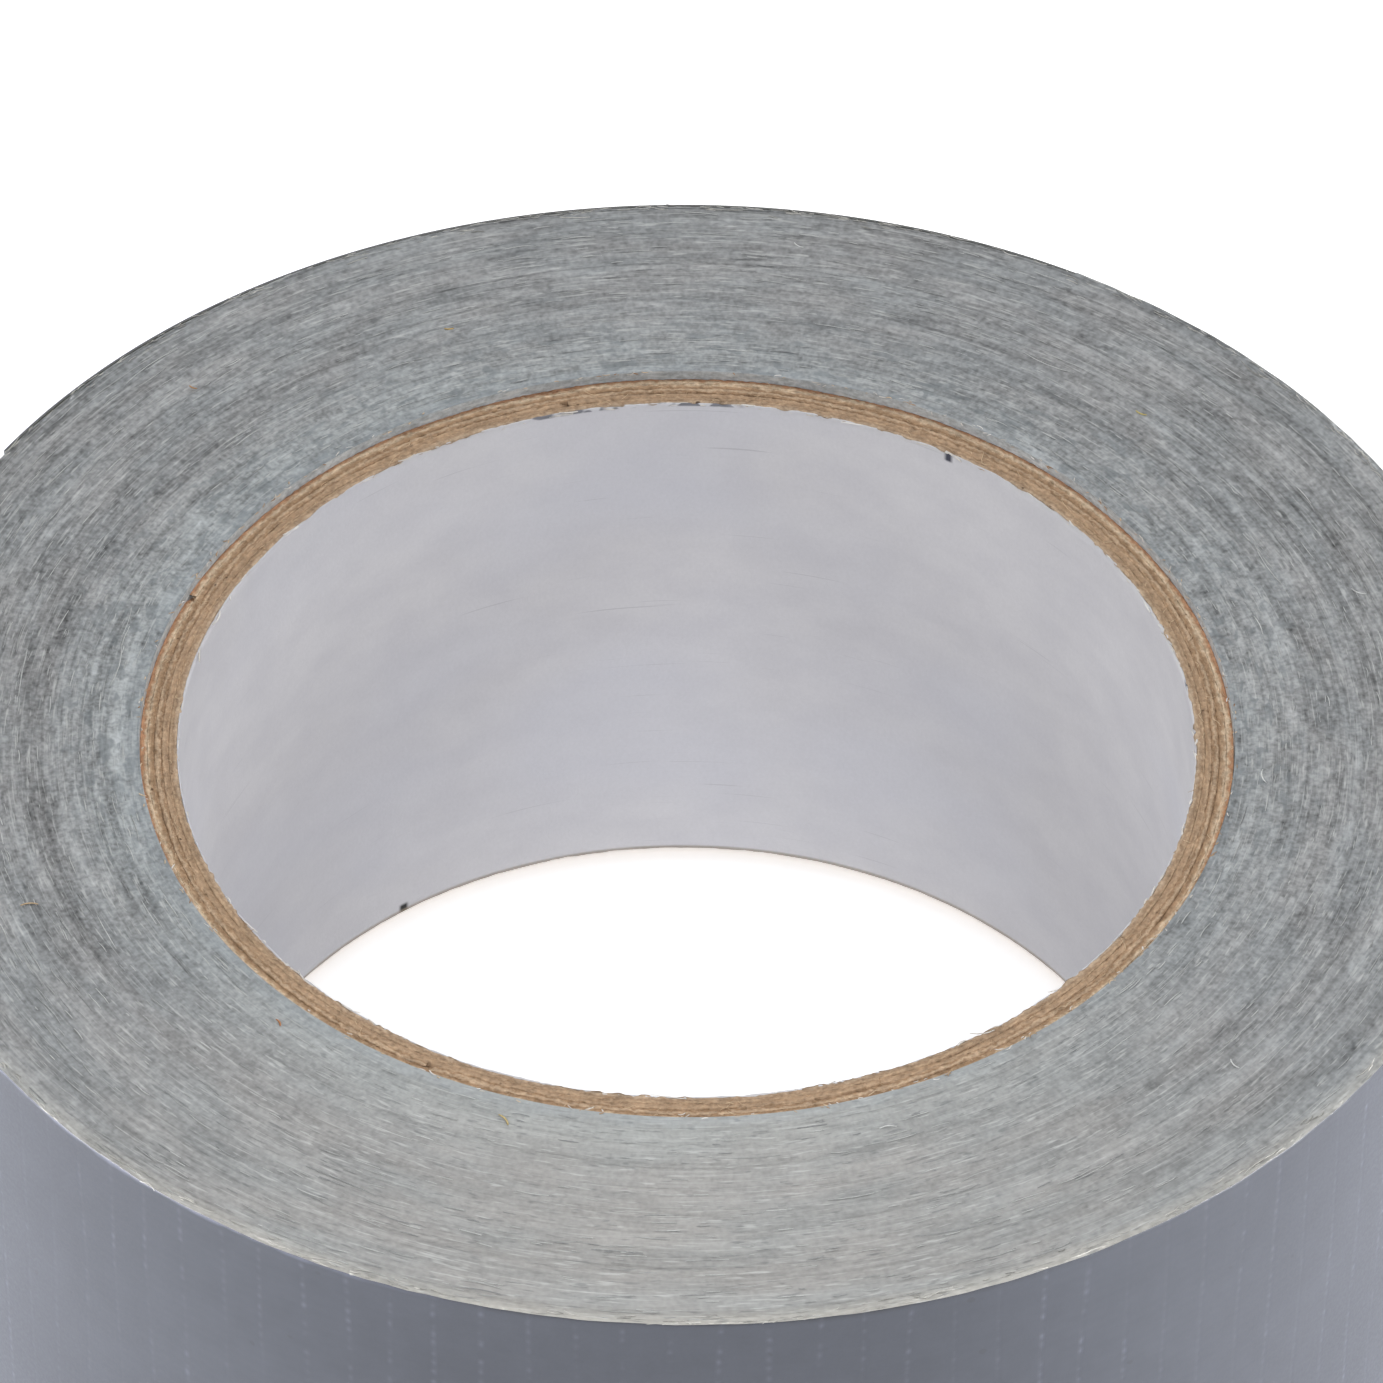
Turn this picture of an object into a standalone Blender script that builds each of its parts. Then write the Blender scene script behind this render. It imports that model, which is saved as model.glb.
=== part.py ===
"""A roll of cloth-backed duct tape on a spiral-wound paperboard core.

The roll lies on one end face. +Z is the roll's axis, the origin is on that axis, and z = 0 is the
lower end face of the tape. Angles are polar angles about +Z, counted from +X towards +Y.

From the bore outwards, the roll is a paper liner, the plies of the core, the wound tape, and the
last stretch of the tape as a tail that peels off. The tail is a chain of short curved lengths.
Each length is a laminate of film, scrim and adhesive, and it turns on a fold line on the film side.
"""
import math

import bmesh
import bpy
from mathutils import Vector

MM = 0.001

# The whole roll
TAPE_WIDTH = 50.0 * MM
ROLL_RADIUS = 61.5 * MM
BORE_RADIUS = 38.1 * MM
TURN_STEPS = 120
STEP_ANGLE = math.tau / TURN_STEPS

# The core
CORE_RECESS = 0.9 * MM
LINER_THICKNESS = 0.12 * MM
PLY_COUNT = 5
PLY_THICKNESS = 0.46 * MM
GLUE_LINE = 0.08 * MM
PLY_SEAM_RUN = math.radians(126)
PLY_SEAM_GAP = 0.6 * MM
FIRST_SEAM_ANGLE = math.radians(201)
SEAM_STAGGER = math.radians(138)

# The tape, as a laminate from its outside to its inside
FILM_THICKNESS = 0.08 * MM
SCRIM_THICKNESS = 0.05 * MM
ADHESIVE_THICKNESS = 0.07 * MM
LAMINATE_GAP = 0.02 * MM
TAPE_THICKNESS = FILM_THICKNESS + SCRIM_THICKNESS + ADHESIVE_THICKNESS + 2 * LAMINATE_GAP

# The tail
TAIL_LENGTHS = 6
LENGTH_ANGLE = math.radians(15)
FREE_END_ANGLE = math.radians(150)
PEEL_ANGLE = FREE_END_ANGLE - TAIL_LENGTHS * LENGTH_ANGLE
TAIL_CLEARANCE = 0.06 * MM
FOLD_GAP = 0.3 * MM
TAIL_EDGE_INSET = 0.1 * MM
PEEL_RAMP = 0.15 * MM

SHARP_EDGE_ANGLE = math.radians(35)

# Colour, roughness
MATERIALS = {
    "liner_paper": ((0.50, 0.50, 0.55), 0.85),
    "kraft_board": ((0.42, 0.25, 0.13), 0.90),
    "wound_tape": ((0.27, 0.29, 0.30), 0.75),
    "tape_film": ((0.20, 0.22, 0.25), 0.38),
    "cotton_scrim": ((0.62, 0.60, 0.54), 0.95),
    "rubber_adhesive": ((0.50, 0.50, 0.47), 0.45),
}


def clear_scene():
    for scene_object in list(bpy.data.objects):
        bpy.data.objects.remove(scene_object, do_unlink=True)


def make_materials():
    made = {}
    for name, (colour, roughness) in MATERIALS.items():
        material = bpy.data.materials.new(name)
        material.use_nodes = True
        shader = material.node_tree.nodes["Principled BSDF"]
        shader.inputs["Base Color"].default_value = (*colour, 1.0)
        shader.inputs["Roughness"].default_value = roughness
        shader.inputs["Metallic"].default_value = 0.0
        made[name] = material
    return made


def on_circle(radius, angle, height=0.0):
    return Vector((radius * math.cos(angle), radius * math.sin(angle), height))


def steps_between(start, end):
    """Angles from start to end: both ends, and every whole step of the turn between them."""
    margin = STEP_ANGLE / 1000
    first = math.floor((start + margin) / STEP_ANGLE) + 1
    last = math.ceil((end - margin) / STEP_ANGLE) - 1
    return [start] + [step * STEP_ANGLE for step in range(first, last + 1)] + [end]


def wall(name, columns, closed, material, origin=None, parent=None):
    """A solid wall that bends round the axis.

    Each column is (angle, inner radius, outer radius, low z, high z). A column whose low and high
    z are equal is the pointed end of the wall, and it has two corners in place of four.
    """
    origin = origin or Vector((0, 0, 0))
    mesh = bmesh.new()
    rings = []
    for angle, inner, outer, low, high in columns:
        heights = (low,) if high == low else (low, high)
        corners = [mesh.verts.new(on_circle(radius, angle, height) - origin)
                   for radius in (inner, outer) for height in heights]
        inner_low, outer_low = corners[0], corners[len(heights)]
        inner_high, outer_high = corners[len(heights) - 1], corners[-1]
        rings.append((inner_low, outer_low, outer_high, inner_high))
    pairs = list(zip(rings, rings[1:]))
    if closed:
        pairs.append((rings[-1], rings[0]))
    for ring, following in pairs:
        for side in range(4):
            add_face(mesh, (ring[side], following[side], following[side - 3], ring[side - 3]))
    if not closed:
        add_face(mesh, rings[0])
        add_face(mesh, reversed(rings[-1]))
    bmesh.ops.recalc_face_normals(mesh, faces=mesh.faces)
    data = bpy.data.meshes.new(name)
    mesh.to_mesh(data)
    mesh.free()
    data.shade_smooth()
    data.set_sharp_from_angle(angle=SHARP_EDGE_ANGLE)
    data.materials.append(material)
    piece = bpy.data.objects.new(name, data)
    piece.parent = parent
    bpy.context.collection.objects.link(piece)
    return piece


def add_face(mesh, corners):
    """A face over the corners that differ, or none where fewer than three do."""
    distinct = list(dict.fromkeys(corners))
    if len(distinct) > 2:
        mesh.faces.new(distinct)


def ring_columns(inner, outer, low, high):
    return [(step * STEP_ANGLE, inner, outer, low, high) for step in range(TURN_STEPS)]


def make_liner(material):
    outer = BORE_RADIUS + LINER_THICKNESS
    columns = ring_columns(BORE_RADIUS, outer, CORE_RECESS, TAPE_WIDTH - CORE_RECESS)
    wall("core_liner", columns, True, material)
    return outer


def ply_columns(inner, outer, seam_angle):
    """One strip wrapped once round, whose two ends meet in a seam that climbs round the core.

    Laid flat, the strip is a parallelogram. Its left end climbs over the first PLY_SEAM_RUN of
    the turn, and its right end climbs over the last stretch, a gap short of the left end.
    """
    low, high = CORE_RECESS, TAPE_WIDTH - CORE_RECESS
    right_start = math.tau - PLY_SEAM_GAP / inner
    right_end = right_start + PLY_SEAM_RUN

    def climb(turned):
        return low + (high - low) * min(max(turned / PLY_SEAM_RUN, 0.0), 1.0)

    turned_angles = steps_between(0.0, PLY_SEAM_RUN)
    turned_angles += steps_between(PLY_SEAM_RUN, right_start)[1:]
    turned_angles += steps_between(right_start, right_end)[1:]
    return [(seam_angle + turned, inner, outer, climb(turned - right_start), climb(turned))
            for turned in turned_angles]


def make_plies(liner_outer, material):
    inner = liner_outer + GLUE_LINE
    for ply in range(PLY_COUNT):
        outer = inner + PLY_THICKNESS
        seam_angle = FIRST_SEAM_ANGLE + ply * SEAM_STAGGER
        wall(f"core_ply_{ply + 1}", ply_columns(inner, outer, seam_angle), False, material)
        inner = outer + GLUE_LINE
    return inner


def tape_outside(behind_free_end):
    """The tape's outer radius, which loses one tape thickness over the turn behind its end."""
    return ROLL_RADIUS - TAPE_THICKNESS * behind_free_end / math.tau


def make_windings(inner, material):
    """The wound tape. It is one tape thickness lower where the tail lies on it."""
    tail_angle = FREE_END_ANGLE - PEEL_ANGLE
    ramp_end = tail_angle + PEEL_RAMP / ROLL_RADIUS
    step_down = TAPE_THICKNESS + TAIL_CLEARANCE
    under_tail = steps_between(0.0, tail_angle)
    past_tail = steps_between(ramp_end, math.tau)[:-1]
    outsides = [(angle, tape_outside(angle) - step_down) for angle in under_tail]
    outsides += [(angle, tape_outside(angle)) for angle in past_tail]
    columns = [(FREE_END_ANGLE - angle, inner, outer, 0.0, TAPE_WIDTH)
               for angle, outer in outsides]
    wall("tape_windings", columns, True, material)


def make_tail(materials):
    low, high = TAIL_EDGE_INSET, TAPE_WIDTH - TAIL_EDGE_INSET
    layers = (
        ("tail_film", FILM_THICKNESS, materials["tape_film"]),
        ("tail_scrim", SCRIM_THICKNESS, materials["cotton_scrim"]),
        ("tail_adhesive", ADHESIVE_THICKNESS, materials["rubber_adhesive"]),
    )
    parent = None
    parent_place = Vector((0, 0, 0))
    for length in range(TAIL_LENGTHS):
        start = PEEL_ANGLE + length * LENGTH_ANGLE
        end = start + LENGTH_ANGLE
        fold = on_circle(tape_outside(FREE_END_ANGLE - start), start)
        fold_line = bpy.data.objects.new(f"fold_line_{length + 1}", None)
        fold_line.parent = parent
        fold_line.location = fold - parent_place
        bpy.context.collection.objects.link(fold_line)
        half_gap = FOLD_GAP / 2 / ROLL_RADIUS
        angles = steps_between(start + half_gap, end - half_gap)
        depth = 0.0
        for name, thickness, material in layers:
            columns = [(angle, tape_outside(FREE_END_ANGLE - angle) - depth - thickness,
                        tape_outside(FREE_END_ANGLE - angle) - depth, low, high)
                       for angle in angles]
            wall(f"{name}_{length + 1}", columns, False, material, fold, fold_line)
            depth += thickness + LAMINATE_GAP
        parent, parent_place = fold_line, fold


def main():
    clear_scene()
    materials = make_materials()
    liner_outer = make_liner(materials["liner_paper"])
    core_outer = make_plies(liner_outer, materials["kraft_board"])
    make_windings(core_outer, materials["wound_tape"])
    make_tail(materials)


main()
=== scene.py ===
"""The looks of the duct tape roll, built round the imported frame.

Lengths are in metres in the row frame, unless a name or a comment says millimetres. The tape is one
strip, so most of its shape is worked out from "turns": how far a point of the strip lies behind the
free end, counted in whole turns of the roll. Angles are polar angles about +Z, from +X towards +Y.
"""
import math

import bpy
import numpy as np
from mathutils import Matrix, Vector


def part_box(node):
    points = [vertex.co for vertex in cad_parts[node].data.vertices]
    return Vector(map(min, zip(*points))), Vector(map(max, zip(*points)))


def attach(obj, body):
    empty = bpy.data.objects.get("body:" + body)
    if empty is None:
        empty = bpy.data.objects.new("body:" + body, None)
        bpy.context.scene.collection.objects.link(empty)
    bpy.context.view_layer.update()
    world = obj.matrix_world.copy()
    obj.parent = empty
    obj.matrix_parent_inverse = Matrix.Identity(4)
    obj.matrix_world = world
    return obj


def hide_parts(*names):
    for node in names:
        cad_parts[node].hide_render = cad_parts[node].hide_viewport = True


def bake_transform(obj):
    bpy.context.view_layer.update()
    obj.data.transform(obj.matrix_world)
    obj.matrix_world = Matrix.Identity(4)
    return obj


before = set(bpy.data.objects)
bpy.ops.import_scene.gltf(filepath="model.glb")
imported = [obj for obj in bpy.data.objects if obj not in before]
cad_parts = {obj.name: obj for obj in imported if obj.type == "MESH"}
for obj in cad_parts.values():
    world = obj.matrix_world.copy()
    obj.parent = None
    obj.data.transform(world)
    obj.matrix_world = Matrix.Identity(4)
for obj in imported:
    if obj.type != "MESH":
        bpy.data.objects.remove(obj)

MM = 0.001
TAU = math.tau
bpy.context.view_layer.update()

# ---------------------------------------------------------------- sizes read from the frame
_low, _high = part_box("tape_windings")
FACE_Z = _high.z
TAPE_WIDTH = _high.z - _low.z
CORE_LOW, CORE_HIGH = (corner.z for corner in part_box("core_ply_1"))
BORE_RADIUS = 38.1 * MM
LINER_THICKNESS = 0.12 * MM
PLY_COUNT = 5
PLY_THICKNESS = 0.46 * MM
GLUE_LINE = 0.08 * MM
PLY_PITCH = PLY_THICKNESS + GLUE_LINE
FIRST_PLY_RADIUS = BORE_RADIUS + LINER_THICKNESS + GLUE_LINE
PLY_SEAM_RUN = math.radians(126)
PLY_SEAM_GAP = 0.6 * MM
FIRST_SEAM_ANGLE = math.radians(201)
SEAM_STAGGER = math.radians(138)
WOUND_INNER_RADIUS = FIRST_PLY_RADIUS + PLY_COUNT * PLY_PITCH
ROLL_RADIUS = 61.5 * MM
TAPE_THICKNESS = 0.24 * MM
TAIL_LENGTHS = 6
LENGTH_ANGLE = math.radians(15)
FREE_END_ANGLE = math.radians(150)
PEEL_ANGLE = FREE_END_ANGLE - TAIL_LENGTHS * LENGTH_ANGLE
PEEL_TURNS = (FREE_END_ANGLE - PEEL_ANGLE) / TAU
TAIL_CLEARANCE = 0.06 * MM
TAIL_EDGE_INSET = 0.1 * MM
LAST_TURN = (ROLL_RADIUS - WOUND_INNER_RADIUS) / TAPE_THICKNESS - 1.0
CIRCUMFERENCE = TAU * ROLL_RADIUS


# ---------------------------------------------------------------- camera, light and floor
VIEW_ELEVATION = math.radians(42.87)
VIEW_DISTANCE = 0.6503
VIEW_LENS_MM = 225.9
VIEW_ROLL = math.radians(-0.377)
AIM_UP = 2.55 * MM
AIM_RIGHT = 0.32 * MM
AMBIENT = 0.12
LIGHT_AIM = Vector((0.0, 0.0, 0.03))
FLOOR_GLOW = 0.50
NEAR_WATTS = 0.165
FAR_WATTS = 0.215
SIDE_WATTS = 2.3
LOW_WATTS = 8.0
# the place and the width of each pair of lights at the sides, and its power; x is mirrored
SIDE_LIGHTS = (("side", 0.85, 0.0, 0.34, 0.4, SIDE_WATTS),
               ("low", 0.6, -0.22, 0.015, 0.06, LOW_WATTS),
               ("low_back", 0.5, 0.4, 0.015, 0.06, LOW_WATTS))
FLOOR_RADIUS = 6.0
FLOOR_SIDES = 64


def make_camera():
    """A long lens on the centre of the upper end face, as high above it as VIEW_ELEVATION."""
    data = bpy.data.cameras.new("camera")
    data.lens = VIEW_LENS_MM
    data.sensor_width = 36.0
    camera = bpy.data.objects.new("camera", data)
    bpy.context.scene.collection.objects.link(camera)
    back = Vector((0, -math.cos(VIEW_ELEVATION), math.sin(VIEW_ELEVATION)))
    right = Vector((1, 0, 0))
    up = back.cross(right)
    centre = Vector((0, 0, FACE_Z))
    camera.location = centre + back * VIEW_DISTANCE
    aim = centre + up * AIM_UP + right * AIM_RIGHT
    towards = (aim - camera.location).normalized()
    turned = towards.to_track_quat("-Z", "Y").to_matrix() @ Matrix.Rotation(-VIEW_ROLL, 3, "Z")
    camera.rotation_euler = turned.to_euler()
    bpy.context.scene.camera = camera


def soft_light(name, place, size, power):
    data = bpy.data.lights.new(name, "AREA")
    data.shape = "DISK"
    data.size = size
    data.energy = power
    light = bpy.data.objects.new(name, data)
    bpy.context.scene.collection.objects.link(light)
    light.location = place
    light.rotation_euler = (LIGHT_AIM - Vector(place)).to_track_quat("-Z", "Y").to_euler()
    light.visible_camera = False


def make_light():
    """Dim white surroundings, and soft lights over the near and far edges and at each side.

    The low ones stay under the height of the roll, so they light its outside and not its bore.
    """
    world = bpy.data.worlds.new("studio")
    world.use_nodes = True
    nodes, links = world.node_tree.nodes, world.node_tree.links
    ambient = nodes["Background"]
    ambient.inputs["Color"].default_value = (1.0, 1.0, 1.0, 1.0)
    ambient.inputs["Strength"].default_value = AMBIENT
    backdrop = nodes.new("ShaderNodeBackground")
    backdrop.inputs["Color"].default_value = (1.0, 1.0, 1.0, 1.0)
    seen = nodes.new("ShaderNodeLightPath").outputs["Is Camera Ray"]
    mix = nodes.new("ShaderNodeMixShader")
    links.new(seen, mix.inputs[0])
    links.new(ambient.outputs[0], mix.inputs[1])
    links.new(backdrop.outputs[0], mix.inputs[2])
    links.new(mix.outputs[0], nodes["World Output"].inputs["Surface"])
    bpy.context.scene.world = world
    soft_light("over_near_edge", (0.0, -0.11, 0.17), 0.12, NEAR_WATTS)
    soft_light("over_far_edge", (0.0, 0.12, 0.22), 0.16, FAR_WATTS)
    for name, side in (("left", -1), ("right", 1)):
        for part, x, y, z, size, watts in SIDE_LIGHTS:
            soft_light(f"{name}_{part}", (side * x, y, z), size, watts)
    bpy.context.scene.view_settings.view_transform = "Standard"


def make_floor():
    """A pale floor, bright enough to read as a plain studio sweep."""
    mesh = bpy.data.meshes.new("studio_floor")
    turns = [TAU * i / FLOOR_SIDES for i in range(FLOOR_SIDES)]
    corners = [(FLOOR_RADIUS * math.cos(turn), FLOOR_RADIUS * math.sin(turn), 0) for turn in turns]
    mesh.from_pydata(corners, [], [list(range(FLOOR_SIDES))])
    shader = Shader("studio_floor")
    grain = shader.noise(shader.object_place(), 3.0)
    shade = shader.spread(grain, 0.3, 0.7, 0.90, 0.93)
    shader.set("Base Color", shader.grey(shade))
    shader.set("Roughness", 0.9)
    shader.set("Emission Color", (1.0, 1.0, 1.0, 1.0))
    shader.set("Emission Strength", FLOOR_GLOW)
    mesh.materials.append(shader.material)
    floor = bpy.data.objects.new("studio_floor", mesh)
    bpy.context.scene.collection.objects.link(floor)


# ---------------------------------------------------------------- shader building
def linear(*levels):
    """An sRGB colour given as levels from 0 to 255, as the linear colour a shader takes."""
    parts = [level / 255 for level in levels]
    return (*(p / 12.92 if p <= 0.04045 else ((p + 0.055) / 1.055) ** 2.4 for p in parts), 1.0)


class Shader:
    """One material with a Principled BSDF, and short calls for the nodes that feed it."""

    def __init__(self, name):
        self.material = bpy.data.materials.new(name)
        self.material.use_nodes = True
        self.tree = self.material.node_tree
        self.surface = self.tree.nodes["Principled BSDF"]

    def node(self, kind, inputs=(), **settings):
        made = self.tree.nodes.new(kind)
        for key, value in settings.items():
            setattr(made, key, value)
        for key, value in dict(inputs).items():
            self.feed(made.inputs[key], value)
        return made

    def feed(self, socket, value):
        if isinstance(value, bpy.types.NodeSocket):
            self.tree.links.new(value, socket)
        else:
            socket.default_value = value

    def set(self, name, value):
        self.feed(self.surface.inputs[name], value)

    def object_place(self):
        return self.node("ShaderNodeTexCoord").outputs["Object"]

    def strip_place(self, along_mm, up_mm):
        """Noise coordinates on the strip: one unit is along_mm by up_mm of tape."""
        uv = self.node("ShaderNodeUVMap", uv_map="strip_mm").outputs["UV"]
        return self.scale(uv, (1 / along_mm, 1 / up_mm, 1.0))

    def round_place(self, along_mm, across_mm, upright=False):
        """Seamless noise coordinates round the axis.

        One unit is along_mm round a circle of 50 mm radius, by across_mm of radius, or of height
        where upright is true.
        """
        place = self.object_place()
        flat = self.scale(place, (1.0, 1.0, 0.0))
        unit = self.vector("NORMALIZE", flat)
        ring = self.scale(unit, (50 / along_mm, 50 / along_mm, 0.0))
        if upright:
            third = self.separate(place)[2]
        else:
            third = self.node("ShaderNodeVectorMath", {0: flat}, operation="LENGTH").outputs[
                "Value"]
        third = self.math("MULTIPLY", third, 1000 / across_mm)
        lift = self.node("ShaderNodeCombineXYZ", {"Z": third}).outputs[0]
        return self.vector("ADD", ring, lift)

    def radius_mm(self):
        flat = self.scale(self.object_place(), (1000.0, 1000.0, 0.0))
        return self.node("ShaderNodeVectorMath", {0: flat}, operation="LENGTH").outputs["Value"]

    def facing(self):
        """The x, y and z of the unit vector that points straight out from the axis."""
        flat = self.scale(self.object_place(), (1.0, 1.0, 0.0))
        return self.separate(self.vector("NORMALIZE", flat))

    def separate(self, vector):
        return self.node("ShaderNodeSeparateXYZ", {0: vector}).outputs

    def vector(self, operation, a, b=None):
        inputs = {0: a} if b is None else {0: a, 1: b}
        return self.node("ShaderNodeVectorMath", inputs, operation=operation).outputs[0]

    def scale(self, vector, factors):
        return self.vector("MULTIPLY", vector, factors)

    def math(self, operation, a, b=0.0, clamp=False):
        return self.node("ShaderNodeMath", {0: a, 1: b}, operation=operation,
                         use_clamp=clamp).outputs[0]

    def times(self, a, b):
        return self.math("MULTIPLY", a, b)

    def mixture(self, start, *parts):
        """start, plus weight times (value - 0.5) for each (weight, value) in parts."""
        total = start
        for weight, value in parts:
            step = {0: value, 1: weight, 2: -0.5 * weight}
            step = self.node("ShaderNodeMath", step, operation="MULTIPLY_ADD").outputs[0]
            total = self.math("ADD", total, step)
        return total

    def noise(self, place, scale=1.0, detail=2.0, roughness=0.5, distortion=0.0):
        inputs = {"Vector": place, "Scale": scale, "Detail": detail, "Roughness": roughness,
                  "Distortion": distortion}
        return self.node("ShaderNodeTexNoise", inputs).outputs["Fac"]

    def round_noise(self, along_mm, across_mm, upright=False, **settings):
        return self.noise(self.round_place(along_mm, across_mm, upright), **settings)

    def strip_noise(self, along_mm, up_mm, **settings):
        return self.noise(self.strip_place(along_mm, up_mm), **settings)

    def spread(self, value, low, high, to_low=0.0, to_high=1.0):
        """value from low to high becomes to_low to to_high, and stays within them."""
        inputs = {"Value": value, "From Min": low, "From Max": high, "To Min": to_low,
                  "To Max": to_high}
        return self.node("ShaderNodeMapRange", inputs).outputs[0]

    def blend(self, factor, a, b, kind="MIX"):
        made = self.node("ShaderNodeMix", data_type="RGBA", blend_type=kind)
        self.feed(made.inputs[0], factor)
        self.feed(made.inputs[6], a)
        self.feed(made.inputs[7], b)
        return made.outputs[2]

    def two_tones(self, value, low, high, first, second):
        """The first sRGB colour where value is low, turning into the second where it is high."""
        return self.blend(self.spread(value, low, high), linear(*first), linear(*second))

    def stain(self, colour, value, none, full, share, levels):
        """colour, stained from not at all where value is none, to share where it is full."""
        return self.blend(self.spread(value, none, full, 0.0, share), colour, linear(*levels))

    def grey(self, value):
        return self.node("ShaderNodeCombineColor", {0: value, 1: value, 2: value}).outputs[0]

    def ramp(self, value, tones):
        """The colour at value, read from (position, sRGB levels) pairs."""
        made = self.node("ShaderNodeValToRGB", {0: value})
        stops = made.color_ramp.elements
        for position, _ in tones[1:-1]:
            stops.new(position)
        for stop, (position, levels) in zip(stops, tones):
            stop.position = position
            stop.color = linear(*levels)
        return made.outputs[0]

    def brighten(self, colour, factor):
        return self.blend(1.0, colour, self.grey(factor), "MULTIPLY")

    def attribute(self, name):
        return self.node("ShaderNodeAttribute", attribute_name=name).outputs["Fac"]

    def bump(self, height, distance, strength=1.0, under=None):
        inputs = {"Height": height, "Distance": distance, "Strength": strength}
        if under is not None:
            inputs["Normal"] = under
        return self.node("ShaderNodeBump", inputs).outputs[0]

    def finish(self, colour, roughness, specular=0.5, relief=None):
        """Sets the surface, and gives its material."""
        self.set("Base Color", colour)
        self.set("Roughness", roughness)
        self.set("Specular IOR Level", specular)
        if relief is not None:
            self.set("Normal", relief)
        return self.material


# ---------------------------------------------------------------- materials
# painted light: the side of the roll is painted paler and warmer towards -Y, by this much
NEAR_SIDE_PAINTED_LIGHT = (1.18, 1.145, 1.10, 1.0)
# how the board's cut edge changes from the bore, 0, to the tape, 1
BOARD_TONES = ((0.00, (182, 160, 137)), (0.09, (156, 131, 107)), (0.17, (180, 155, 129)),
               (0.24, (164, 137, 111)), (0.36, (182, 156, 130)), (0.44, (152, 124, 97)),
               (0.53, (190, 166, 141)), (0.62, (150, 122, 95)), (0.72, (174, 147, 120)),
               (0.80, (208, 188, 163)), (0.87, (184, 158, 132)), (0.93, (166, 127, 98)),
               (1.00, (184, 140, 110)))


def tape_end_material():
    """The side of the wound tape: thousands of cut edges, rubbed, with thread ends and dust."""
    shader = Shader("tape_end")
    radius = shader.radius_mm()
    facing = shader.facing()
    rings = shader.round_noise(60.0, 1.5, detail=3.0, roughness=0.6)
    patches = shader.round_noise(7.0, 1.6)
    mottle = shader.round_noise(1.6, 0.65, roughness=0.55)
    grain = shader.round_noise(0.40, 0.40, detail=1.0)
    lines = shader.round_noise(4.5, 0.20)
    tint = shader.round_noise(9.0, 3.0)
    colour = shader.two_tones(tint, 0.38, 0.62, (142, 145, 147), (146, 147, 148))
    # the turns near the core were wound tighter and stay cleaner, and the last ones fray
    near_core = shader.times(shader.spread(radius, 42.5, 48.0, 1.0, 0.0),
                             shader.spread(facing[0], -0.6, 0.9, 0.75, 0.30))
    colour = shader.blend(near_core, colour, linear(153, 158, 160))
    rim = shader.two_tones(facing[1], -0.1, 0.4, (173, 172, 167), (124, 127, 129))
    colour = shader.blend(shader.spread(radius, 59.8, 61.2, 0.0, 0.5), colour, rim)
    # painted light and shade: the mottle is painted with the most contrast towards +X and -X, and
    # the least towards -Y, as light raking from the sides would give
    rough = shader.spread(shader.math("ABSOLUTE", facing[0]), 0.35, 0.95, 0.98, 1.32)
    rough = shader.times(rough, shader.spread(facing[1], -1.0, -0.3, 0.42, 1.0))
    tone = shader.mixture(0.0, (0.80, rings), (0.75, patches), (0.85, mottle), (0.90, grain),
                          (0.42, lines))
    colour = shader.brighten(colour, shader.math("ADD", shader.times(tone, rough), 1.0))
    # painted light: the end face is painted paler and warmer towards -Y
    near = shader.spread(facing[1], -1.0, -0.6, 1.0, 0.0)
    colour = shader.blend(near, colour, shader.blend(1.0, colour, NEAR_SIDE_PAINTED_LIGHT, "MULTIPLY"))
    # threads of the cloth that lie bare in the side, in short runs and in long thin ones
    for along, across, low, share in ((1.8, 0.20, 0.62, 0.50), (6.0, 0.15, 0.63, 0.36)):
        threads = shader.round_noise(along, across, detail=1.0)
        colour = shader.stain(colour, threads, low, low + 0.12, share, (200, 202, 201))
    # painted shade: dents in the turns near the core, painted darker, but not towards -Y
    dent_shade = shader.round_noise(1.9, 0.8, detail=1.0, distortion=0.6)
    dent_shade = shader.times(shader.spread(dent_shade, 0.46, 0.34, 0.0, 0.55),
                         shader.spread(radius, 44.0, 50.0, 1.0, 0.15))
    dent_shade = shader.times(dent_shade, shader.spread(facing[1], -0.7, -0.1))
    colour = shader.blend(dent_shade, colour, linear(112, 119, 123))
    # painted shade: short dark gaps between the turns
    gap_shade = shader.round_noise(1.4, 0.30, detail=1.0)
    colour = shader.stain(colour, gap_shade, 0.36, 0.24, 0.40, (88, 93, 96))
    # the innermost turns are smoother film for up to a millimetre, more of it towards -X
    width = shader.spread(facing[0], 1.0, -1.0, 41.3, 42.2)
    width = shader.mixture(width, (1.2, patches), (1.6, mottle))
    inner = shader.spread(shader.math("SUBTRACT", radius, width), -0.6, 0.5, 0.30, 0.0)
    colour = shader.blend(inner, colour, linear(156, 164, 170))
    relief = shader.bump(mottle, 0.0002, under=shader.bump(grain, 0.00004))
    return shader.finish(colour, shader.spread(mottle, 0.3, 0.7, 0.62, 0.85), 0.3, relief)


def film_back_material():
    """The first turn, seen from the core's side above the core: scuffed, with shreds on it."""
    shader = Shader("first_turn")
    cloud = shader.round_noise(5.0, 2.0, upright=True, detail=3.0)
    grain = shader.round_noise(0.9, 0.25, upright=True, detail=3.0, roughness=0.65)
    rough = shader.round_noise(0.55, 0.35, upright=True, roughness=0.6)
    colour = shader.two_tones(cloud, 0.35, 0.65, (176, 183, 188), (190, 195, 198))
    colour = shader.brighten(colour, shader.mixture(0.97, (0.8, grain), (1.1, rough)))
    shreds = shader.round_noise(2.2, 0.30, upright=True, detail=1.0)
    colour = shader.stain(colour, shreds, 0.60, 0.70, 0.5, (216, 218, 217))
    return shader.finish(colour, shader.spread(grain, 0.3, 0.7, 0.45, 0.7),
                         relief=shader.bump(grain, 0.00008, 0.8))


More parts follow.
